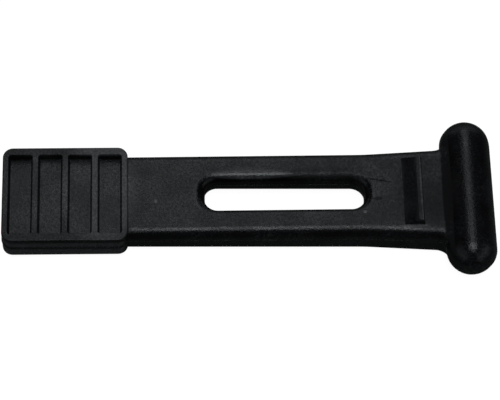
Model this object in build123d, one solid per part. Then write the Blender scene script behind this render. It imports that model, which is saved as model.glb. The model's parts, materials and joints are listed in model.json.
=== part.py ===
"""Rubber T draw latch, moulded in one piece.

X runs along the strap from the pull grip (-X) to the T-bar (+X), Y along the T-bar, Z up.
The origin is under the middle of the moulding, at the height of the underside of the T-bar.
The mould opens at the parting plane, which holds the axis of the T-bar.
"""

from build123d import *
import os

# ---------------------------------------------------------------- driving dimensions, mm and degrees
overall_length = 152.4  # end of the grip to the far flank of the T-bar

# T-bar: a round bar with hemispherical ends, square to the strap
tee_diameter = 15.6
tee_length = 51.6
tee_root_radius = 0.6  # in the corner of the strap and the bar

# Pull grip: a flat block with rounded corners
grip_length = 38.7
grip_width = 32.3
grip_thickness = 9.8
grip_corner_radius = 3.2
grip_edge_radius = 0.35  # of its top edge
grip_under_chamfer = 0.2
grip_root_radius = 0.25  # in the corner of the strap and the grip

# Finger pockets, cored into the top of the grip
pocket_count = 4
pocket_rib = 1.85  # wall between two pockets, at the rim
pocket_end_wall = 1.85  # wall between the end pockets and the ends of the grip
pocket_side_wall = 2.5  # wall between the pockets and the long sides of the grip
pocket_floor = 6.9  # rubber left under a pocket
pocket_corner_radius = 0.7
pocket_floor_chamfer = 0.3
pocket_rim_chamfer = 0.15
pocket_draft = 4.0

# Strap: thickens towards the T-bar, measured each way from the parting plane
strap_width = 28.4
strap_top_at_grip = 4.1
strap_top_at_tee = 4.9
strap_under_at_grip = 4.4
strap_under_at_tee = 6.5
strap_top_radius = 3.1
strap_under_radius = 0.9

# Neck: where the strap widens to meet the T-bar
neck_width = 31.0  # where the flank of the T-bar would cross it
neck_length = 24.6  # before the flank of the T-bar
neck_blend_radius = 100.0
flare_reach = 2.6  # past the flank of the T-bar
flare_overlap = 1.8  # past the start of the hemispherical end
flare_radius = 5.0
flare_end_radius = 1.0

# Slot: drops over the keeper hook
slot_to_grip = 23.7  # solid strap between the grip and the slot
slot_to_tooth = 11.8  # solid strap between the slot and the foot of the tooth
slot_width = 9.9  # clear width at the parting plane
slot_corner_radius = 4.2
slot_draft = 3.0
slot_top_radius = 2.5
slot_under_radius = 3.4

# Tooth: a wedge that holds the bracket plate against the T-bar
tooth_to_tee = 6.6  # room for the bracket plate
tooth_height = 1.9
tooth_ramp = 4.5
tooth_land = 1.35
tooth_back_lean = 0.4
tooth_width = 23.2  # at its foot
tooth_side_lean = 0.6
tooth_edge_chamfer = 0.2
tooth_root = 1.5  # depth to which it reaches into the strap

# Parting line: the fine ridge that the joint of the mould leaves all round
ridge_height = 0.15
ridge_width = 0.5

# ---------------------------------------------------------------- places worked out from them
parting_z = tee_diameter / 2
tee_radius = tee_diameter / 2
tee_half_shank = (tee_length - tee_diameter) / 2
grip_end_x = -overall_length / 2
grip_face_x = grip_end_x + grip_length
grip_centre_x = grip_end_x + grip_length / 2
tee_x = overall_length / 2 - tee_radius
flank_x = tee_x - tee_radius
tooth_back_x = flank_x - tooth_to_tee
tooth_foot_x = tooth_back_x - tooth_back_lean - tooth_land - tooth_ramp
slot_start_x = grip_face_x + slot_to_grip
slot_end_x = tooth_foot_x - slot_to_tooth
slot_length = slot_end_x - slot_start_x
slot_centre_x = (slot_start_x + slot_end_x) / 2
strap_root_x = grip_face_x - pocket_end_wall / 2  # the strap starts inside the end wall of the grip


def strap_top(x):
    """Height of the top of the strap above the parting plane at x."""
    share = (x - grip_face_x) / (tee_x - grip_face_x)
    return strap_top_at_grip + share * (strap_top_at_tee - strap_top_at_grip)


def strap_under(x):
    """Depth of the underside of the strap below the parting plane at x."""
    share = (x - grip_face_x) / (tee_x - grip_face_x)
    return strap_under_at_grip + share * (strap_under_at_tee - strap_under_at_grip)


def strap_outline():
    """Plan of the strap, the neck and the flares that run into the T-bar."""
    corners = [
        (strap_root_x, strap_width / 2),
        (flank_x - neck_length, strap_width / 2),
        (flank_x, neck_width / 2),
        (flank_x + flare_reach, tee_half_shank + flare_overlap),
        (tee_x, tee_half_shank + flare_overlap),
    ]
    side = FilletPolyline(*corners, radius=[neck_blend_radius, flare_radius, flare_end_radius])
    other_side = mirror(side, Plane.XZ)
    ends = [Line(side @ 0, other_side @ 0), Line(side @ 1, other_side @ 1)]
    return make_face(side + other_side + ends)


def strap():
    """Tapered strap and neck with rounded long edges."""
    side_view = make_face(
        Polyline(
            (strap_root_x, strap_top(strap_root_x)),
            (tee_x, strap_top_at_tee),
            (tee_x, -strap_under_at_tee),
            (strap_root_x, -strap_under(strap_root_x)),
            close=True,
        )
    )
    slab = extrude(Plane.XZ.offset(-tee_length / 2) * side_view, tee_length)
    body = extrude(strap_outline(), tee_diameter, both=True) & slab
    body = fillet(long_edges(broad_face(body, up=1)), strap_top_radius)
    return fillet(long_edges(broad_face(body, up=-1)), strap_under_radius)


def broad_face(body, up):
    """The largest flat face that looks up (1) or down (-1)."""
    flats = body.faces().filter_by(GeomType.PLANE)
    return max(flats, key=lambda face: up * face.normal_at().Z * face.area)


def long_edges(face):
    """The edges of a face, without its straight ends across the strap."""
    return [edge for edge in face.edges() if edge not in face.edges().filter_by(Axis.Y)]


def level_faces(body):
    """The level flat faces, from the lowest to the highest."""
    return body.faces().filter_by(Plane.XY).sort_by(Axis.Z)


def slot_outline():
    """Plan of the slot at the parting plane, its ends a little flatter than half rounds."""
    return Pos(slot_centre_x, 0) * RectangleRounded(slot_length, slot_width, slot_corner_radius)


def slotted(body):
    """Cut the slot, with draft each way from the parting plane and rounded rims."""
    upper = extrude(slot_outline(), tee_radius, taper=-slot_draft)
    lower = extrude(slot_outline(), -tee_radius, taper=-slot_draft)
    body = body - upper - lower
    body = fillet(broad_face(body, up=1).inner_wires()[0].edges(), slot_top_radius)
    return fillet(broad_face(body, up=-1).inner_wires()[0].edges(), slot_under_radius)


def tooth():
    """Wedge across the strap: a ramp from the slot side, a narrow land and a steep back."""
    back_z = strap_top(tooth_back_x)
    land_z = back_z + tooth_height
    side_view = make_face(
        Polyline(
            (tooth_foot_x, back_z - tooth_root),
            (tooth_foot_x, strap_top(tooth_foot_x)),
            (tooth_foot_x + tooth_ramp, land_z),
            (tooth_back_x - tooth_back_lean, land_z),
            (tooth_back_x, back_z),
            (tooth_back_x, back_z - tooth_root),
            close=True,
        )
    )
    end_view = make_face(
        Polyline(
            (-tooth_width / 2, back_z - tooth_root),
            (-tooth_width / 2, back_z),
            (tooth_side_lean - tooth_width / 2, land_z),
            (tooth_width / 2 - tooth_side_lean, land_z),
            (tooth_width / 2, back_z),
            (tooth_width / 2, back_z - tooth_root),
            close=True,
        )
    )
    lengthwise = extrude(Plane.XZ * side_view, tooth_width, both=True)
    crosswise = extrude(Plane.YZ * end_view, overall_length)
    wedge = lengthwise & crosswise
    return chamfer(level_faces(wedge)[-1].edges(), tooth_edge_chamfer)


def tee_outline():
    """Plan of the T-bar, on its own centre."""
    return Rot(0, 0, 90) * SlotOverall(tee_length, tee_diameter)


def tee_bar():
    """Round bar with hemispherical ends, turned about its own axis."""
    half = tee_outline() - Pos(-tee_radius / 2, 0) * Rectangle(tee_radius, tee_length)
    return Pos(tee_x, 0, 0) * revolve(half, Axis.Y)


def grip_outline():
    """Plan of the grip block."""
    return Pos(grip_centre_x, 0) * RectangleRounded(grip_length, grip_width, grip_corner_radius)


def grip():
    """Grip block with broken edges and a row of drafted finger pockets."""
    block = extrude(grip_outline(), grip_thickness / 2, both=True)
    block = fillet(level_faces(block)[-1].edges(), grip_edge_radius)
    block = chamfer(level_faces(block)[0].edges(), grip_under_chamfer)
    block = block - pockets()
    rims = level_faces(block)[-1].inner_wires()
    return chamfer([edge for rim in rims for edge in rim.edges()], pocket_rim_chamfer)


def pockets():
    """The row of pockets, as the cores of the mould that form them."""
    ribs = (pocket_count - 1) * pocket_rib
    length = (grip_length - 2 * pocket_end_wall - ribs) / pocket_count
    width = grip_width - 2 * pocket_side_wall
    depth = grip_thickness - pocket_floor
    mouth = RectangleRounded(length, width, pocket_corner_radius)
    core = extrude(mouth, -depth, taper=pocket_draft)
    core = chamfer(level_faces(core)[0].edges(), pocket_floor_chamfer)
    row = GridLocations(length + pocket_rib, 0, pocket_count, 1)
    return [Pos(grip_centre_x, 0, grip_thickness / 2) * place * core for place in row]


def parting_ridge():
    """Thin ridge that stands proud of the outline and of the wall of the slot."""
    outline = strap_outline() + grip_outline() + Pos(tee_x, 0) * tee_outline()
    proud = offset(outline, ridge_height) - offset(slot_outline(), -ridge_height)
    return extrude(proud, ridge_width / 2, both=True)


def joined(body, feature, corner_radius):
    """Two features in one, with a round in the corner where they meet."""
    whole = body + feature
    return fillet(new_edges(body, feature, combined=whole), corner_radius)


def latch_strap():
    """The whole moulding, standing on the underside of its T-bar."""
    body = joined(slotted(strap()), tee_bar(), tee_root_radius)
    body = joined(body, grip(), grip_root_radius)
    return Pos(0, 0, parting_z) * (body + tooth() + parting_ridge())


os.makedirs("parts", exist_ok=True)
moulding = latch_strap()
export_step(moulding.solid(), "parts/latch_strap.step")
print("latch_strap", round(moulding.volume), "mm3", moulding.bounding_box())
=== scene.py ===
"""Looks of a rubber T draw latch: one moulding of black EPDM, on a plain pale stage.

Sizes are in metres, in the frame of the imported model: X along the strap from the grip to the
T-bar, Y along the T-bar, Z up.
"""

import json
import math

import bpy
from mathutils import Matrix, Vector


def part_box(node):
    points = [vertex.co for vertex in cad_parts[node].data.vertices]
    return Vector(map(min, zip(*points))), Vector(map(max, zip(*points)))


bl_info = {
    "name": "Rubber T Draw Latch",
    "version": (1, 0, 0),
    "blender": (4, 5, 0),
    "location": "View3D > Sidebar > Draw Latch",
    "description": "Finishes the moulded rubber strap and sets its studio stage",
    "category": "Object",
}

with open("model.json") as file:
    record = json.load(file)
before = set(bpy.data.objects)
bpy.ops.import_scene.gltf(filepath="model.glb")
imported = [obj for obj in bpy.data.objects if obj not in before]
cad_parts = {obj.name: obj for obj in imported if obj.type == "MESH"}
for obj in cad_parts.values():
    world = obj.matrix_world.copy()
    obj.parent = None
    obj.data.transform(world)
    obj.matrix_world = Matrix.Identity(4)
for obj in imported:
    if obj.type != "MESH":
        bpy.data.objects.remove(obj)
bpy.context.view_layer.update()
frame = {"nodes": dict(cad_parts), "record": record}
strap = frame["nodes"]["latch_strap"]
strap_low, strap_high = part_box("latch_strap")
mount = {entry["name"]: Vector(entry["pos_m"]) for entry in frame["record"]["mounts"]}
slot_middle, tee_middle, tooth_back = mount["hook_slot"], mount["tee_bar"], mount["bracket_stop"]
grip_end = Vector((strap_low.x, 0, tee_middle.z))
MM = 0.001


def linear(hex_colour):
    """An sRGB hex colour as linear red, green, blue and alpha."""
    channels = [int(hex_colour[i : i + 2], 16) / 255 for i in (1, 3, 5)]
    return [c / 12.92 if c <= 0.04045 else ((c + 0.055) / 1.055) ** 2.4 for c in channels] + [1.0]


# ---------------------------------------------------------------- what a user would change


class RubberLook(bpy.types.PropertyGroup):
    """Finish of the moulded rubber"""

    colour: bpy.props.FloatVectorProperty(
        name="Rubber", description="Rubber full of carbon black", subtype="COLOR", size=4,
        min=0, max=1, default=linear("#050506"),
    )
    # The pale colour is real chalk on the bloom and the specks, and painted highlights, sheen and
    # reflection on the marks that stand in for them.
    chalk_and_painted_light: bpy.props.FloatVectorProperty(
        name="Chalk", description="Pale bloom and scuffs on the rubber", subtype="COLOR", size=4,
        min=0, max=1, default=linear("#3a3b3c"),
    )
    roughness: bpy.props.FloatProperty(
        name="Roughness", description="Roughness of the clean skin", subtype="FACTOR",
        min=0, max=1, default=0.30,
    )
    gloss: bpy.props.FloatProperty(
        name="Gloss", description="Strength of its reflections, 0.5 for a clean polymer",
        subtype="FACTOR", min=0, max=1, default=0.15,
    )
    grain: bpy.props.FloatProperty(
        name="Grain", description="Width of one grain of the moulded skin", subtype="DISTANCE",
        min=0.1 * MM, default=0.8 * MM,
    )
    grain_depth: bpy.props.FloatProperty(
        name="Grain depth", description="Depth of the grain", subtype="DISTANCE",
        min=0, default=0.11 * MM,
    )
    grain_contrast: bpy.props.FloatProperty(
        name="Grain contrast", description="Roughness that the grain adds or takes away",
        subtype="FACTOR", min=0, max=1, default=0.15,
    )
    cloud: bpy.props.FloatProperty(
        name="Clouds", description="Width of the faint clouds in the skin", subtype="DISTANCE",
        min=0.1 * MM, default=11 * MM,
    )


class StageLook(bpy.types.PropertyGroup):
    """Floor, lamps and camera"""

    floor_colour: bpy.props.FloatVectorProperty(
        name="Floor", description="Pale board", subtype="COLOR", size=4,
        min=0, max=1, default=linear("#f0f0f0"),
    )
    floor_shade: bpy.props.FloatVectorProperty(
        name="Floor's shade", description="The board as the object mirrors it", subtype="COLOR",
        size=4, min=0, max=1, default=linear("#505050"),
    )
    shadow: bpy.props.FloatProperty(
        name="Shadow", description="How much of the object's shadow shows on the white",
        subtype="FACTOR", min=0, max=1, default=0.12,
    )
    lamp_distance: bpy.props.FloatProperty(
        name="Lamp distance", description="From the object to the lamps", subtype="DISTANCE",
        default=2.5,
    )
    lamp_width: bpy.props.FloatProperty(
        name="Lamp width", description="Width of the overhead lamps, as the object sees them",
        subtype="ANGLE", default=math.radians(19),
    )
    lamp_aside: bpy.props.FloatProperty(
        name="Lamps aside", description="Turn of the overhead lamps from straight above to +X",
        subtype="ANGLE", default=math.radians(1.2),
    )
    near_lean: bpy.props.FloatProperty(
        name="Near lamp's lean", description="Turn of its middle from straight above to +Y",
        subtype="ANGLE", default=math.radians(-11.5),
    )
    near_spread: bpy.props.FloatProperty(
        name="Near lamp's length", description="Length of the near lamp, as the object sees it",
        subtype="ANGLE", default=math.radians(30),
    )
    near_radiance: bpy.props.FloatProperty(
        name="Near lamp", description="Brightness of the lamp above the near side",
        min=0, default=10.5,
    )
    far_lean: bpy.props.FloatProperty(
        name="Far lamp's lean", description="Turn of its middle from straight above to +Y",
        subtype="ANGLE", default=math.radians(37),
    )
    far_spread: bpy.props.FloatProperty(
        name="Far lamp's length", description="Length of the far lamp, as the object sees it",
        subtype="ANGLE", default=math.radians(50),
    )
    far_radiance: bpy.props.FloatProperty(
        name="Far lamp", description="Brightness of the lamp behind the far side",
        min=0, default=2.9,
    )
    front_fill: bpy.props.FloatProperty(
        name="Front fill", description="Brightness of the two low lamps in front of the object",
        min=0, default=0.8,
    )
    back_fill: bpy.props.FloatProperty(
        name="Back fill", description="Brightness of the two low lamps behind the object",
        min=0, default=0.5,
    )
    room: bpy.props.FloatProperty(
        name="Room", description="Brightness of the room round the lamps", min=0, default=0.02
    )
    elevation: bpy.props.FloatProperty(
        name="Elevation", description="Height of the camera above the horizon", subtype="ANGLE",
        default=math.radians(62.5),
    )
    turn: bpy.props.FloatProperty(
        name="Turn", description="Turn of the view away from +Y, towards +X", subtype="ANGLE",
        default=math.radians(4.7),
    )
    roll: bpy.props.FloatProperty(
        name="Roll", description="Roll of the camera about its line of sight", subtype="ANGLE",
        default=math.radians(3.7),
    )
    distance: bpy.props.FloatProperty(
        name="Distance", description="Distance of the camera from the object",
        subtype="DISTANCE", default=746 * MM,
    )
    lens: bpy.props.FloatProperty(
        name="Lens", description="Focal length", subtype="DISTANCE_CAMERA", default=172.8
    )


# ---------------------------------------------------------------- nodes


def add_node(tree, kind, inputs=None, **settings):
    """Add a node with its settings. A socket or node given as an input is linked, a value set."""
    made = tree.nodes.new(kind)
    for name, value in settings.items():
        setattr(made, name, value)
    for key, value in (inputs or {}).items():
        if isinstance(value, bpy.types.Node):
            value = value.outputs[0]
        if isinstance(value, bpy.types.NodeSocket):
            tree.links.new(value, made.inputs[key])
        else:
            made.inputs[key].default_value = value
    return made


def new_material(name):
    """A material and its node tree, still empty."""
    material = bpy.data.materials.new(name)
    material.use_nodes = True
    material.node_tree.nodes.clear()
    return material, material.node_tree


# ---------------------------------------------------------------- the rubber


class Mark:
    """A soft-edged oval patch on the part, with what it adds to the pale colour and to the
    roughness. That pale colour is chalk on some marks, and painted highlights and sheen on others.

    Its middle is given from a point of the frame, and its reach each way from there, both in
    millimetres. Streaks is how far the clouds of the skin break the patch up.
    """

    def __init__(self, point, offset, reach, chalk_and_painted_light=0.0, roughness=0.0, turn=0.0, streaks=0.0):
        self.middle = point + Vector(offset) * MM
        self.reach = [size * MM for size in reach]
        self.chalk_and_painted_light = chalk_and_painted_light
        self.roughness = roughness
        self.turn = math.radians(turn)
        self.streaks = streaks


marks = (
    # Far rim of the slot: polished by the keeper hook, with a painted highlight along its top, the
    # rest left dull
    Mark(slot_middle, (-11, 6.0, 3.4), (15, 4, 4), roughness=-0.18),
    Mark(slot_middle, (-11, 6.6, 4.1), (16, 1.7, 1.7), chalk_and_painted_light=0.9, streaks=0.4),
    Mark(slot_middle, (14, 6.4, 3.8), (17, 3.2, 3), roughness=0.14),
    # Smooth round ends of the slot's rim, and duller skin towards the tooth
    Mark(slot_middle, (-26, 0, 3), (3, 7, 4), roughness=-0.16),
    Mark(slot_middle, (26, 0, 3), (3, 7, 4), roughness=-0.16),
    Mark(slot_middle, (22, 8, 4.7), (20, 8, 3), roughness=0.08),
    # Tooth: dull where the bracket sits, ramp wiped smooth, painted highlights along the crest and
    # one edge
    Mark(tooth_back, (1, 0, -1), (12, 15, 9), roughness=0.25),
    Mark(tooth_back, (-3.8, 0, 0.2), (2.8, 16, 3), roughness=-0.25, streaks=0.6),
    Mark(tooth_back, (-0.45, 0, 1), (0.5, 14, 0.8), chalk_and_painted_light=0.7, streaks=0.5),
    Mark(tooth_back, (-3, -12.0, -1), (5, 0.6, 1.5), chalk_and_painted_light=0.8),
    # T-bar: grime in its corner with the strap, and a smoother skin on top
    Mark(tooth_back, (7.6, 0, -1), (1.7, 40, 2.2), roughness=0.65),
    Mark(tee_middle, (0, 0, 6), (8, 34, 8), roughness=-0.05),
    # Grip: painted sheen on the ribs, strongest near the strap, the floors of the pockets a little
    # paler, dull long rims
    Mark(grip_end, (31, 2, 4.9), (15, 22, 1.6), chalk_and_painted_light=0.8),
    Mark(grip_end, (10, 2, 4.9), (12, 17, 1.6), chalk_and_painted_light=0.2),
    Mark(grip_end, (19, 0, 2), (24, 20, 1.4), chalk_and_painted_light=0.14),
    Mark(grip_end, (18, -15, 4.9), (25, 2.4, 2), roughness=0.2, streaks=0.7),
    Mark(grip_end, (18, 15, 4.9), (25, 2.4, 2), roughness=0.14, streaks=0.7),
    # Strap: two specks, a smudge and a healed nick
    Mark(slot_middle, (-39.9, -2.6, 4.2), (0.7, 0.7, 1), chalk_and_painted_light=1.5),
    Mark(slot_middle, (24.6, -7.0, 4.6), (0.6, 0.6, 1), chalk_and_painted_light=1.5),
    Mark(slot_middle, (28.7, -2.4, 4.7), (1.8, 0.8, 1), roughness=0.4),
    Mark(slot_middle, (29.2, 4.0, 4.7), (5, 0.4, 1), roughness=0.5, turn=-11),
)


def moulded_epdm_rubber(look):
    """EPDM rubber full of carbon black, pressed in a spark-eroded steel mould.

    That gives a near black, satin skin of fine even grain. Soft broad highlights lie on it,
    faintly clouded where the rubber has bloomed, with shinier places where hands and the keeper
    hook have rubbed it. Pale paint adds painted highlights on the slot's far rim and the tooth,
    painted sheen on the grip's ribs and a painted reflection of the floor on the upright sides.
    """
    bloom_chalk = 0.22  # most chalk that bloom lays on the clean skin
    cloud_roughness = 0.07  # roughness that the clouds add or take away

    material, tree = new_material("moulded_epdm_rubber")
    texture = add_node(tree, "ShaderNodeTexCoord").outputs
    place = texture["Object"]

    # The mould's grain is about 0.15 mm wide, too fine to show, so it is drawn about five times
    # as coarse.
    fine = {"Vector": place, "Scale": 1 / look.grain, "Detail": 3, "Roughness": 0.65}
    grain = add_node(tree, "ShaderNodeTexNoise", fine)
    hollow_to_top = {"Value": grain, "From Min": 0.3, "From Max": 0.7}
    broad = {"Vector": place, "Scale": 1 / look.cloud, "Detail": 5, "Roughness": 0.6}
    cloud = add_node(tree, "ShaderNodeTexNoise", broad)

    # Bloom lies in soft clouds, and only on the tops of the grains.
    clouded = add_node(
        tree, "ShaderNodeMapRange", {"Value": cloud, "From Min": 0.4, "From Max": 0.65},
        interpolation_type="SMOOTHSTEP",
    )
    grained = add_node(
        tree, "ShaderNodeMapRange",
        {"Value": grain, "From Min": 0.42, "From Max": 0.68, "To Max": bloom_chalk},
    )
    chalk_and_painted_light = add_node(tree, "ShaderNodeMath", {0: clouded, 1: grained}, operation="MULTIPLY")

    # The tops of the grains are smoother than the hollows between them, and so is the bloom.
    by_cloud = add_node(
        tree, "ShaderNodeMapRange",
        {"Value": cloud, "From Min": 0.35, "From Max": 0.65,
         "To Min": cloud_roughness, "To Max": -cloud_roughness},
    )
    by_grain = add_node(
        tree, "ShaderNodeMapRange",
        {**hollow_to_top, "To Min": look.roughness + look.grain_contrast,
         "To Max": look.roughness - look.grain_contrast},
    )
    roughness = add_node(tree, "ShaderNodeMath", {0: by_cloud, 1: by_grain})

    chalk_and_painted_light, roughness = rub_and_mark(tree, place, cloud, hollow_to_top, chalk_and_painted_light, roughness)
    # The floor's reflection on the upright sides is painted in the pale colour, with a painted
    # shade line along the parting ridge.
    painted_side_reflection = painted_floor_reflection_on_sides(tree, texture, hollow_to_top)
    chalk_and_painted_light = add_node(tree, "ShaderNodeMath", {0: chalk_and_painted_light, 1: painted_side_reflection})

    colour = add_node(
        tree, "ShaderNodeMix",
        {"Factor": chalk_and_painted_light, "A": list(look.colour), "B": list(look.chalk_and_painted_light)}, data_type="RGBA",
    )
    bump = add_node(
        tree, "ShaderNodeBump",
        {"Height": grain, "Distance": look.grain_depth, "Strength": 1.0},
    )
    # The gloss is under a polymer's usual 0.5. It is matched to the object together with the
    # lamps.
    skin = add_node(
        tree, "ShaderNodeBsdfPrincipled",
        {"Base Color": colour.outputs["Result"], "Roughness": roughness, "Normal": bump,
         "IOR": 1.5, "Specular IOR Level": look.gloss},
    )
    add_node(tree, "ShaderNodeOutputMaterial", {"Surface": skin})
    return material


def rub_and_mark(tree, place, cloud, hollow_to_top, chalk_and_painted_light, roughness):
    """Lay the marks over the chalk and the roughness of the clean skin, and give back both."""
    soft_edge = 0.4  # outer share of a mark's reach, over which it fades
    hollow_share = 0.4  # share of a mark's pale colour that reaches the hollows of the grain
    streaky = add_node(
        tree, "ShaderNodeMapRange", {"Value": cloud, "From Min": 0.45, "From Max": 0.55}
    )
    for mark in marks:
        inside = add_node(
            tree, "ShaderNodeMapping",
            {"Vector": place, "Location": mark.middle, "Rotation": (0, 0, mark.turn),
             "Scale": mark.reach},
            vector_type="TEXTURE",
        )
        ball = add_node(
            tree, "ShaderNodeTexGradient", {"Vector": inside}, gradient_type="SPHERICAL"
        )
        patch = add_node(
            tree, "ShaderNodeMapRange", {"Value": ball.outputs["Fac"], "From Max": soft_edge},
            interpolation_type="SMOOTHSTEP",
        )
        if mark.streaks:
            broken = add_node(
                tree, "ShaderNodeMix", {"Factor": mark.streaks, "A": 1.0, "B": streaky}
            )
            patch = add_node(tree, "ShaderNodeMath", {0: patch, 1: broken}, operation="MULTIPLY")
        if mark.chalk_and_painted_light:
            worn = add_node(
                tree, "ShaderNodeMapRange",
                {**hollow_to_top, "To Min": hollow_share * mark.chalk_and_painted_light, "To Max": mark.chalk_and_painted_light},
            )
            chalk_and_painted_light = add_node(
                tree, "ShaderNodeMath", {0: patch, 1: worn, 2: chalk_and_painted_light}, operation="MULTIPLY_ADD"
            )
        if mark.roughness:
            roughness = add_node(
                tree, "ShaderNodeMath", {0: patch, 1: mark.roughness, 2: roughness},
                operation="MULTIPLY_ADD",
            )
    return chalk_and_painted_light, roughness


def painted_floor_reflection_on_sides(tree, texture, hollow_to_top):
    """Painted reflection of the floor on the upright outer sides of the grip, below its lip, left
    off the parting ridge as a painted shade line.

    A thinner painted reflection lies on the sides of the strap too.
    """
    hollow_painted_reflection, top_painted_reflection = 0.25, 0.8  # pale colour that it paints, in the hollows and on the grains
    strap_share_of_painted_reflection = 0.12  # share of it painted on the sides of the strap
    ridge_height = tee_middle.z - 0.2 * MM
    grip_side = {"From Min": 15.0 * MM, "From Max": 15.8 * MM}
    grip_face = {"From Min": strap_low.x + 1.2 * MM, "From Max": strap_low.x + 0.5 * MM}
    past_grip = {"From Min": strap_low.x + 40 * MM, "From Max": strap_low.x + 38 * MM}
    below_lip = {"From Min": tee_middle.z + 3.4 * MM, "From Max": tee_middle.z + 2.6 * MM}
    # Near the ridge the painted reflection fades out and leaves a painted shade line.
    clear_of_ridge_shade_line = {"From Min": 0.5 * MM, "From Max": 1.0 * MM}
    upright = {"From Min": 0.5, "From Max": 0.2}  # of how far the skin faces up or down

    axes = add_node(tree, "ShaderNodeSeparateXYZ", {"Vector": texture["Object"]}).outputs
    facing = add_node(tree, "ShaderNodeSeparateXYZ", {"Vector": texture["Normal"]}).outputs
    level = add_node(tree, "ShaderNodeMath", {0: facing["Z"]}, operation="ABSOLUTE")
    across = add_node(tree, "ShaderNodeMath", {0: axes["Y"]}, operation="ABSOLUTE")
    height = add_node(
        tree, "ShaderNodeMath", {0: axes["Z"], 1: ridge_height}, operation="SUBTRACT"
    )
    from_ridge = add_node(tree, "ShaderNodeMath", {0: height}, operation="ABSOLUTE")
    at_side = add_node(tree, "ShaderNodeMapRange", {"Value": across, **grip_side})
    at_face = add_node(tree, "ShaderNodeMapRange", {"Value": axes["X"], **grip_face})
    outside = add_node(tree, "ShaderNodeMath", {0: at_side, 1: at_face}, operation="MAXIMUM")
    limits = (
        {"Value": outside},
        {"Value": level, **upright},
        {"Value": axes["X"], **past_grip, "To Min": strap_share_of_painted_reflection},
        {"Value": axes["Z"], **below_lip},
        {"Value": from_ridge, **clear_of_ridge_shade_line},
    )
    painted_side_reflection = add_node(
        tree, "ShaderNodeMapRange", {**hollow_to_top, "To Min": hollow_painted_reflection, "To Max": top_painted_reflection}
    )
    for limit in limits:
        share = add_node(tree, "ShaderNodeMapRange", limit, interpolation_type="SMOOTHSTEP")
        painted_side_reflection = add_node(tree, "ShaderNodeMath", {0: painted_side_reflection, 1: share}, operation="MULTIPLY")
    return painted_side_reflection


# ---------------------------------------------------------------- the stage


def looked_at(tree):
    """1 for what the camera sees, straight or through glass, and 0 for what lights the object.

    Mirrored light counts as light: the part has no metal, and a white floor mirrored in its black
    upright sides would turn them grey.
    """
    rays = add_node(tree, "ShaderNodeLightPath").outputs
    sight = {0: rays["Is Camera Ray"], 1: rays["Is Transmission Ray"]}
    return add_node(tree, "ShaderNodeMath", sight, operation="MAXIMUM")


def painted_board(look):
    """Board with pale matt paint.

    It is white with a faint shadow where it is looked at, and dim where it lights the object.
    """
    white_glow = 1.09  # with the board's own share mixed in, it comes to plain white
    material, tree = new_material("painted_board")
    board = add_node(tree, "ShaderNodeBsdfDiffuse", {"Color": list(look.floor_colour)})
    white = add_node(tree, "ShaderNodeEmission", {"Strength": white_glow})
    seen = add_node(tree, "ShaderNodeMixShader", {0: look.shadow, 1: white, 2: board})
    dim_board = add_node(tree, "ShaderNodeBsdfDiffuse", {"Color": list(look.floor_shade)})
    mixed = add_node(tree, "ShaderNodeMixShader", {0: looked_at(tree), 1: dim_board, 2: seen})
    add_node(tree, "ShaderNodeOutputMaterial", {"Surface": mixed})
    return material


def softbox(name, look, turned, width, height, radiance):
    """A rectangular lamp that faces the object, of a stated brightness.

    It hangs straight above the object and is then turned about it. Its width and height are
    angles, as the object sees them.
    """
    lamp = bpy.data.lights.new(name, "AREA")
    lamp.shape = "RECTANGLE"
    lamp.color = linear("#f6fcff")[:3]
    lamp.size = 2 * look.lamp_distance * math.tan(width / 2)
    lamp.size_y = 2 * look.lamp_distance * math.tan(height / 2)
    lamp.energy = radiance * math.pi * lamp.size * lamp.size_y
    holder = bpy.data.objects.new(name, lamp)
    holder.matrix_world = turned @ Matrix.Translation((0, 0, look.lamp_distance))
    bpy.context.collection.objects.link(holder)


def hang_lamps(look):
    """Two long softboxes overhead, and four low and weak ones that show the other sides.

    They light the top of the object at about 0.7 of the level at which a colour renders as it is
    written.
    """
    aside = Matrix.Rotation(look.lamp_aside, 4, "Y")
    near = aside @ Matrix.Rotation(-look.near_lean, 4, "X")
    far = aside @ Matrix.Rotation(-look.far_lean, 4, "X")
    softbox("near_softbox", look, near, look.lamp_width, look.near_spread, look.near_radiance)
    softbox("far_softbox", look, far, look.lamp_width, look.far_spread, look.far_radiance)

    # Turn from the front to either side, lean from straight above, width and height in degrees
    fills = (
        ((58, 68, 62, 34), look.front_fill),
        ((158, 74, 40, 34), look.back_fill),
    )
    for degrees, radiance in fills:
        turn, lean, width, height = map(math.radians, degrees)
        for side in (-1, 1):
            low = Matrix.Rotation(side * turn, 4, "Z") @ Matrix.Rotation(lean, 4, "X")
            softbox("fill_softbox", look, low, width, height, radiance)


def set_camera(look):
    """The camera, from its angles, its distance and its lens."""
    camera = bpy.data.cameras.new("camera")
    camera.lens = look.lens
    camera.sensor_width = 36.0
    camera.clip_end = 10  # past the edge of the floor
    holder = bpy.data.objects.new("camera", camera)
    middle_height = (strap_low.z + strap_high.z) / 2
    aim = Vector((0.4 * MM, -0.2 * MM, middle_height))  # what the camera centres on
    tilt = Matrix.Rotation(math.pi / 2 - look.elevation, 4, "X")
    turned = Matrix.Rotation(-look.turn, 4, "Z") @ tilt @ Matrix.Rotation(look.roll, 4, "Z")
    away = Matrix.Translation((0, 0, look.distance))
    holder.matrix_world = Matrix.Translation(aim) @ turned @ away
    bpy.context.collection.objects.link(holder)
    bpy.context.scene.camera = holder


def set_world(look):
    """White behind the floor's edge where it is looked at, and a dim even room for the rest."""
    world = bpy.data.worlds.new("studio")
    world.use_nodes = True
    tree = world.node_tree
    tree.nodes.clear()
    paint = linear("#ffffff")
    room = add_node(tree, "ShaderNodeBackground", {"Color": paint, "Strength": look.room})
    white = add_node(tree, "ShaderNodeBackground", {"Color": paint, "Strength": 1.0})
    mixed = add_node(tree, "ShaderNodeMixShader", {0: looked_at(tree), 1: room, 2: white})
    add_node(tree, "ShaderNodeOutputWorld", {"Surface": mixed})
    bpy.context.scene.world = world


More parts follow.
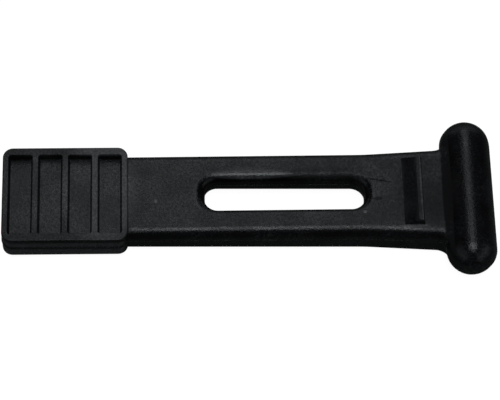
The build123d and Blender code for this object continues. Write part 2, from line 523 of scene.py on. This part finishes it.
# ---------------------------------------------------------------- operators and panel


class LATCH_OT_strap(bpy.types.Operator):
    """Finish the strap, its grip, tooth and T-bar as one rubber moulding"""

    bl_idname = "latch.strap"
    bl_label = "Rubber Strap"

    def execute(self, context):
        rubber = moulded_epdm_rubber(context.scene.latch_rubber)
        for slot in strap.material_slots:
            slot.material = rubber
        return {"FINISHED"}


class LATCH_OT_stage(bpy.types.Operator):
    """Lay the floor, hang the lamps and set the camera"""

    bl_idname = "latch.stage"
    bl_label = "Stage"

    def execute(self, context):
        look = context.scene.latch_stage
        floor_side = 6  # wide enough that its edge is out of the camera's way
        bpy.ops.mesh.primitive_plane_add(size=floor_side, location=(0, 0, strap_low.z))
        floor = context.object
        floor.name = "floor"
        floor.data.materials.append(painted_board(look))
        hang_lamps(look)
        set_world(look)
        set_camera(look)
        context.scene.view_settings.view_transform = "Standard"
        return {"FINISHED"}


class LATCH_PT_panel(bpy.types.Panel):
    """Pieces and looks of the draw latch"""

    bl_idname = "LATCH_PT_panel"
    bl_label = "Draw Latch"
    bl_space_type = "VIEW_3D"
    bl_region_type = "UI"
    bl_category = "Draw Latch"

    def draw(self, context):
        scene = context.scene
        steps = ((scene.latch_rubber, LATCH_OT_strap), (scene.latch_stage, LATCH_OT_stage))
        for look, operator in steps:
            self.layout.operator(operator.bl_idname)
            for name in look.__annotations__:
                self.layout.prop(look, name)


classes = (RubberLook, StageLook, LATCH_OT_strap, LATCH_OT_stage, LATCH_PT_panel)


def register():
    for cls in classes:
        bpy.utils.register_class(cls)
    bpy.types.Scene.latch_rubber = bpy.props.PointerProperty(type=RubberLook)
    bpy.types.Scene.latch_stage = bpy.props.PointerProperty(type=StageLook)


def unregister():
    del bpy.types.Scene.latch_stage
    del bpy.types.Scene.latch_rubber
    for cls in reversed(classes):
        bpy.utils.unregister_class(cls)


def main():
    """Finish the piece and set the stage."""
    register()
    bpy.ops.latch.strap()
    bpy.ops.latch.stage()


if __name__ == "__main__":
    main()
